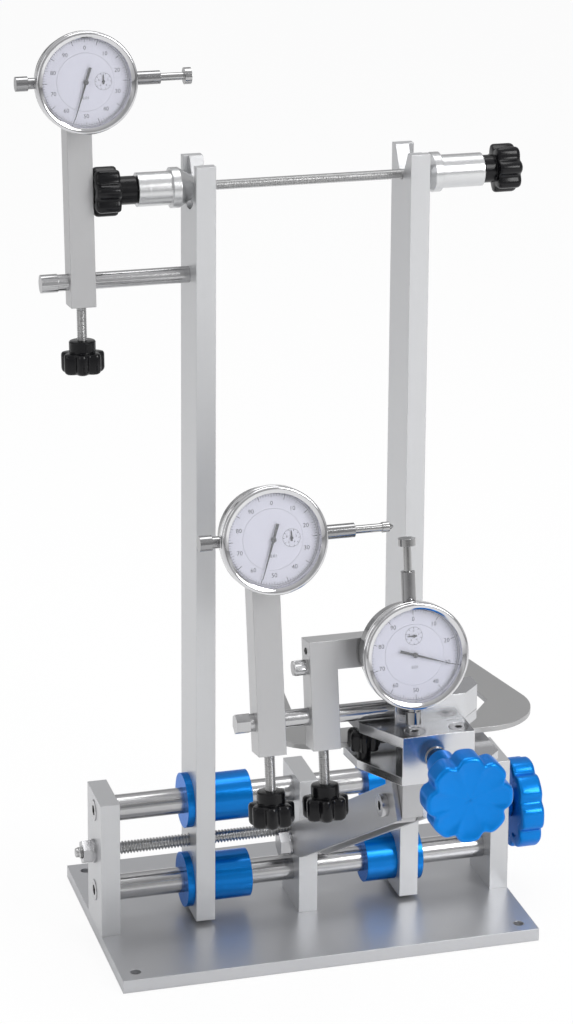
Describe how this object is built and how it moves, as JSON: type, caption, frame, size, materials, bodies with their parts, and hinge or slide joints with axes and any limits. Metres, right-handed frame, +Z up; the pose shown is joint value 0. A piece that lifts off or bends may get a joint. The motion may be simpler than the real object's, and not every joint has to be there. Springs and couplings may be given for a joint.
{
  "type": "bicycle wheel truing stand",
  "caption": "Bench stand for truing bicycle wheels: uprights moved by a lead screw hold the axle, and dial gauges on a swing arm and a side post read the rim.",
  "frame": {"origin": "On the underside of the base plate, at its middle.", "axes": "+X runs along the lead screw towards the knob at its end, +Y runs back from the gauges to the uprights, +Z runs up."},
  "size_m": [0.331, 0.3685, 0.577],
  "materials": {
    "satin_aluminium": "satin anodised",
    "bright_steel": "bright turned steel",
    "polished_steel": "polished plating",
    "blue_anodised": "bright blue anodised",
    "black_plastic": "glossy",
    "dial_face": "matt white print ground",
    "pointer_black": "matt black paint"
  },
  "bodies": {
    "stand": {"base_plate": "satin_aluminium", "base_screws": "bright_steel", "end_plates": "satin_aluminium", "middle_support": "satin_aluminium", "guide_rods": "bright_steel", "rod_screws": "bright_steel", "arm_pivot_bolt": "bright_steel"},
    "left_upright": {"left_upright": "satin_aluminium", "left_bushes": "blue_anodised", "side_rod": "bright_steel"},
    "right_upright": {"right_upright": "satin_aluminium", "right_bushes": "blue_anodised"},
    "lead_screw": {"lead_screw": "bright_steel", "lead_screw_nut": "bright_steel", "lead_knob": "blue_anodised"},
    "axle": {"axle_rod": "bright_steel"},
    "left_clamp": {"left_clamp_sleeve": "satin_aluminium"},
    "left_clamp_knob": {"left_clamp_knob": "black_plastic"},
    "right_clamp": {"right_clamp_sleeve": "satin_aluminium"},
    "right_clamp_knob": {"right_clamp_knob": "black_plastic"},
    "side_post": {"side_post": "satin_aluminium"},
    "side_clamp_screw": {"side_post_screw": "bright_steel", "side_post_knob": "black_plastic"},
    "arm": {"arm_plates": "satin_aluminium", "head_pivot_bolt": "bright_steel"},
    "head": {"pivot_block": "satin_aluminium", "head_channel": "satin_aluminium", "gauge_block": "satin_aluminium", "head_screws": "bright_steel", "gauge_rod": "bright_steel"},
    "front_knob": {"feed_screw": "bright_steel", "front_knob": "blue_anodised"},
    "fork": {"fork": "satin_aluminium", "fork_nut": "satin_aluminium"},
    "fork_lock_knob": {"fork_lock_knob": "black_plastic"},
    "left_post": {"left_post": "satin_aluminium"},
    "left_clamp_screw": {"left_post_screw": "bright_steel", "left_post_knob": "black_plastic"},
    "middle_post": {"middle_post": "satin_aluminium"},
    "middle_clamp_screw": {"middle_post_screw": "bright_steel", "middle_post_knob": "black_plastic"},
    "side_gauge": {"side_case": "polished_steel", "side_dial": "dial_face"},
    "side_gauge_bezel": {"side_bezel": "polished_steel"},
    "side_gauge_pointer": {"side_pointer": "pointer_black"},
    "side_gauge_counter": {"side_counter": "pointer_black"},
    "side_gauge_spindle": {"side_spindle": "bright_steel"},
    "left_gauge": {"left_case": "polished_steel", "left_dial": "dial_face"},
    "left_gauge_bezel": {"left_bezel": "polished_steel"},
    "left_gauge_pointer": {"left_pointer": "pointer_black"},
    "left_gauge_counter": {"left_counter": "pointer_black"},
    "left_gauge_spindle": {"left_spindle": "bright_steel"},
    "middle_gauge": {"middle_case": "polished_steel", "middle_dial": "dial_face"},
    "middle_gauge_bezel": {"middle_bezel": "polished_steel"},
    "middle_gauge_pointer": {"middle_pointer": "pointer_black"},
    "middle_gauge_counter": {"middle_counter": "pointer_black"},
    "middle_gauge_spindle": {"middle_spindle": "bright_steel"}
  },
  "joints": [
    {"name": "lead_screw_turn", "type": "hinge", "parent": "stand", "child": "lead_screw", "pos_m": [0, -0.0026, 0.0571], "axis": [1, 0, 0], "range_deg": [-4500, 3060]},
    {"name": "left_upright_slide", "type": "slide", "parent": "stand", "child": "left_upright", "axis": [1, 0, 0], "range_m": [-0.0251, 0.0171]},
    {"name": "right_upright_slide", "type": "slide", "parent": "stand", "child": "right_upright", "axis": [-1, 0, 0], "range_m": [-0.0251, 0.0171]},
    {"name": "axle_lift", "type": "slide", "parent": "stand", "child": "axle", "axis": [0, 0, 1], "range_m": [0, 0.02]},
    {"name": "left_clamp_slide", "type": "slide", "parent": "axle", "child": "left_clamp", "axis": [1, 0, 0], "range_m": [-0.0251, 0.0171]},
    {"name": "right_clamp_slide", "type": "slide", "parent": "axle", "child": "right_clamp", "axis": [-1, 0, 0], "range_m": [-0.0251, 0.0171]},
    {"name": "left_clamp_turn", "type": "hinge", "parent": "left_clamp", "child": "left_clamp_knob", "pos_m": [-0.11, -0.0026, 0.4768], "axis": [1, 0, 0], "continuous": true},
    {"name": "right_clamp_turn", "type": "hinge", "parent": "right_clamp", "child": "right_clamp_knob", "pos_m": [0.115, -0.0026, 0.4768], "axis": [1, 0, 0], "continuous": true},
    {"name": "side_post_slide", "type": "slide", "parent": "left_upright", "child": "side_post", "axis": [1, 0, 0], "range_m": [-0.006, 0]},
    {"name": "side_screw_turn", "type": "hinge", "parent": "side_post", "child": "side_clamp_screw", "pos_m": [-0.138, -0.0026, 0.423], "axis": [0, 0.0872, 0.9962], "range_deg": [0, 360]},
    {"name": "arm_swing", "type": "hinge", "parent": "stand", "child": "arm", "pos_m": [0, -0.0135, 0.0525], "axis": [-1, 0, 0], "range_deg": [-12, 16]},
    {"name": "head_tilt", "type": "hinge", "parent": "arm", "child": "head", "pos_m": [0, -0.20601, 0.16387], "axis": [-1, 0, 0], "range_deg": [-12, 12]},
    {"name": "front_knob_turn", "type": "hinge", "parent": "head", "child": "front_knob", "pos_m": [0.0124, -0.22801, 0.19957], "axis": [0, 1, 0], "range_deg": [-1440, 2304]},
    {"name": "fork_feed", "type": "slide", "parent": "head", "child": "fork", "axis": [0, 1, 0], "range_m": [-0.00501, 0.00801]},
    {"name": "fork_lock_turn", "type": "hinge", "parent": "head", "child": "fork_lock_knob", "pos_m": [-0.0195, -0.19601, 0.18937], "axis": [0, 0, 1], "range_deg": [0, 180]},
    {"name": "left_post_slide", "type": "slide", "parent": "head", "child": "left_post", "axis": [1, 0, 0], "range_m": [-0.002, 0.002]},
    {"name": "middle_post_slide", "type": "slide", "parent": "head", "child": "middle_post", "axis": [1, 0, 0], "range_m": [-0.002, 0.004]},
    {"name": "left_screw_turn", "type": "hinge", "parent": "left_post", "child": "left_clamp_screw", "pos_m": [-0.0761, -0.19801, 0.21847], "axis": [0, 0.1736, 0.9848], "range_deg": [0, 360]},
    {"name": "middle_screw_turn", "type": "hinge", "parent": "middle_post", "child": "middle_clamp_screw", "pos_m": [-0.0448, -0.19801, 0.21847], "axis": [0, 0.1736, 0.9848], "range_deg": [0, 360]},
    {"name": "side_gauge_tilt", "type": "hinge", "parent": "side_post", "child": "side_gauge", "pos_m": [-0.1375, 0.00801, 0.54424], "axis": [-1, 0, 0], "range_deg": [-3, 12]},
    {"name": "side_bezel_turn", "type": "hinge", "parent": "side_gauge", "child": "side_gauge_bezel", "pos_m": [-0.1375, -0.02487, 0.54711], "axis": [0, 0.9962, -0.0872], "continuous": true},
    {"name": "side_pointer_turn", "type": "hinge", "parent": "side_gauge", "child": "side_gauge_pointer", "pos_m": [-0.1375, -0.02487, 0.54711], "axis": [0, 0.9962, -0.0872], "range_deg": [-1, 3601]},
    {"name": "side_counter_turn", "type": "hinge", "parent": "side_gauge", "child": "side_gauge_counter", "pos_m": [-0.127, -0.02487, 0.54711], "axis": [0, 0.9962, -0.0872], "range_deg": [-360.5, 0.5]},
    {"name": "side_spindle_slide", "type": "slide", "parent": "side_gauge", "child": "side_gauge_spindle", "axis": [-1, 0, 0], "range_m": [0, 0.01], "stiffness_N_per_m": 60, "springref_m": -0.015},
    {"name": "left_gauge_tilt", "type": "hinge", "parent": "left_post", "child": "left_gauge", "pos_m": [-0.0761, -0.17955, 0.32315], "axis": [-1, 0, 0], "range_deg": [-3, 12]},
    {"name": "left_bezel_turn", "type": "hinge", "parent": "left_gauge", "child": "left_gauge_bezel", "pos_m": [-0.0761, -0.21205, 0.32888], "axis": [0, 0.9848, -0.1736], "continuous": true},
    {"name": "left_pointer_turn", "type": "hinge", "parent": "left_gauge", "child": "left_gauge_pointer", "pos_m": [-0.0761, -0.21205, 0.32888], "axis": [0, 0.9848, -0.1736], "range_deg": [-1, 3601]},
    {"name": "left_counter_turn", "type": "hinge", "parent": "left_gauge", "child": "left_gauge_counter", "pos_m": [-0.0656, -0.21205, 0.32888], "axis": [0, 0.9848, -0.1736], "range_deg": [-360.5, 0.5]},
    {"name": "left_spindle_slide", "type": "slide", "parent": "left_gauge", "child": "left_gauge_spindle", "axis": [-1, 0, 0], "range_m": [0, 0.01], "stiffness_N_per_m": 60, "springref_m": -0.015},
    {"name": "middle_gauge_tilt", "type": "hinge", "parent": "middle_post", "child": "middle_gauge", "pos_m": [0.002, -0.19193, 0.25294], "axis": [-1, 0, 0], "range_deg": [0, 12]},
    {"name": "middle_bezel_turn", "type": "hinge", "parent": "middle_gauge", "child": "middle_gauge_bezel", "pos_m": [0.002, -0.22443, 0.25867], "axis": [0, 0.9848, -0.1736], "continuous": true},
    {"name": "middle_pointer_turn", "type": "hinge", "parent": "middle_gauge", "child": "middle_gauge_pointer", "pos_m": [0.002, -0.22443, 0.25867], "axis": [0, 0.9848, -0.1736], "range_deg": [-1, 3601]},
    {"name": "middle_counter_turn", "type": "hinge", "parent": "middle_gauge", "child": "middle_gauge_counter", "pos_m": [0.002, -0.2226, 0.26901], "axis": [0, 0.9848, -0.1736], "range_deg": [-360.5, 0.5]},
    {"name": "middle_spindle_slide", "type": "slide", "parent": "middle_gauge", "child": "middle_gauge_spindle", "axis": [0, -0.1736, -0.9848], "range_m": [0, 0.01], "stiffness_N_per_m": 60, "springref_m": -0.015}
  ],
  "couplings": [
    {"joint": "left_upright_slide", "follows": "lead_screw_turn", "m_per_rad": 0.00031831},
    {"joint": "right_upright_slide", "follows": "lead_screw_turn", "m_per_rad": 0.00031831},
    {"joint": "left_clamp_slide", "follows": "lead_screw_turn", "m_per_rad": 0.00031831},
    {"joint": "right_clamp_slide", "follows": "lead_screw_turn", "m_per_rad": 0.00031831},
    {"joint": "fork_feed", "follows": "front_knob_turn", "m_per_rad": 0.00019894},
    {"joint": "side_pointer_turn", "follows": "side_spindle_slide", "rad_per_m": 6283.2},
    {"joint": "side_counter_turn", "follows": "side_spindle_slide", "rad_per_m": -628.32},
    {"joint": "left_pointer_turn", "follows": "left_spindle_slide", "rad_per_m": 6283.2},
    {"joint": "left_counter_turn", "follows": "left_spindle_slide", "rad_per_m": -628.32},
    {"joint": "middle_pointer_turn", "follows": "middle_spindle_slide", "rad_per_m": 6283.2},
    {"joint": "middle_counter_turn", "follows": "middle_spindle_slide", "rad_per_m": -628.32}
  ]
}
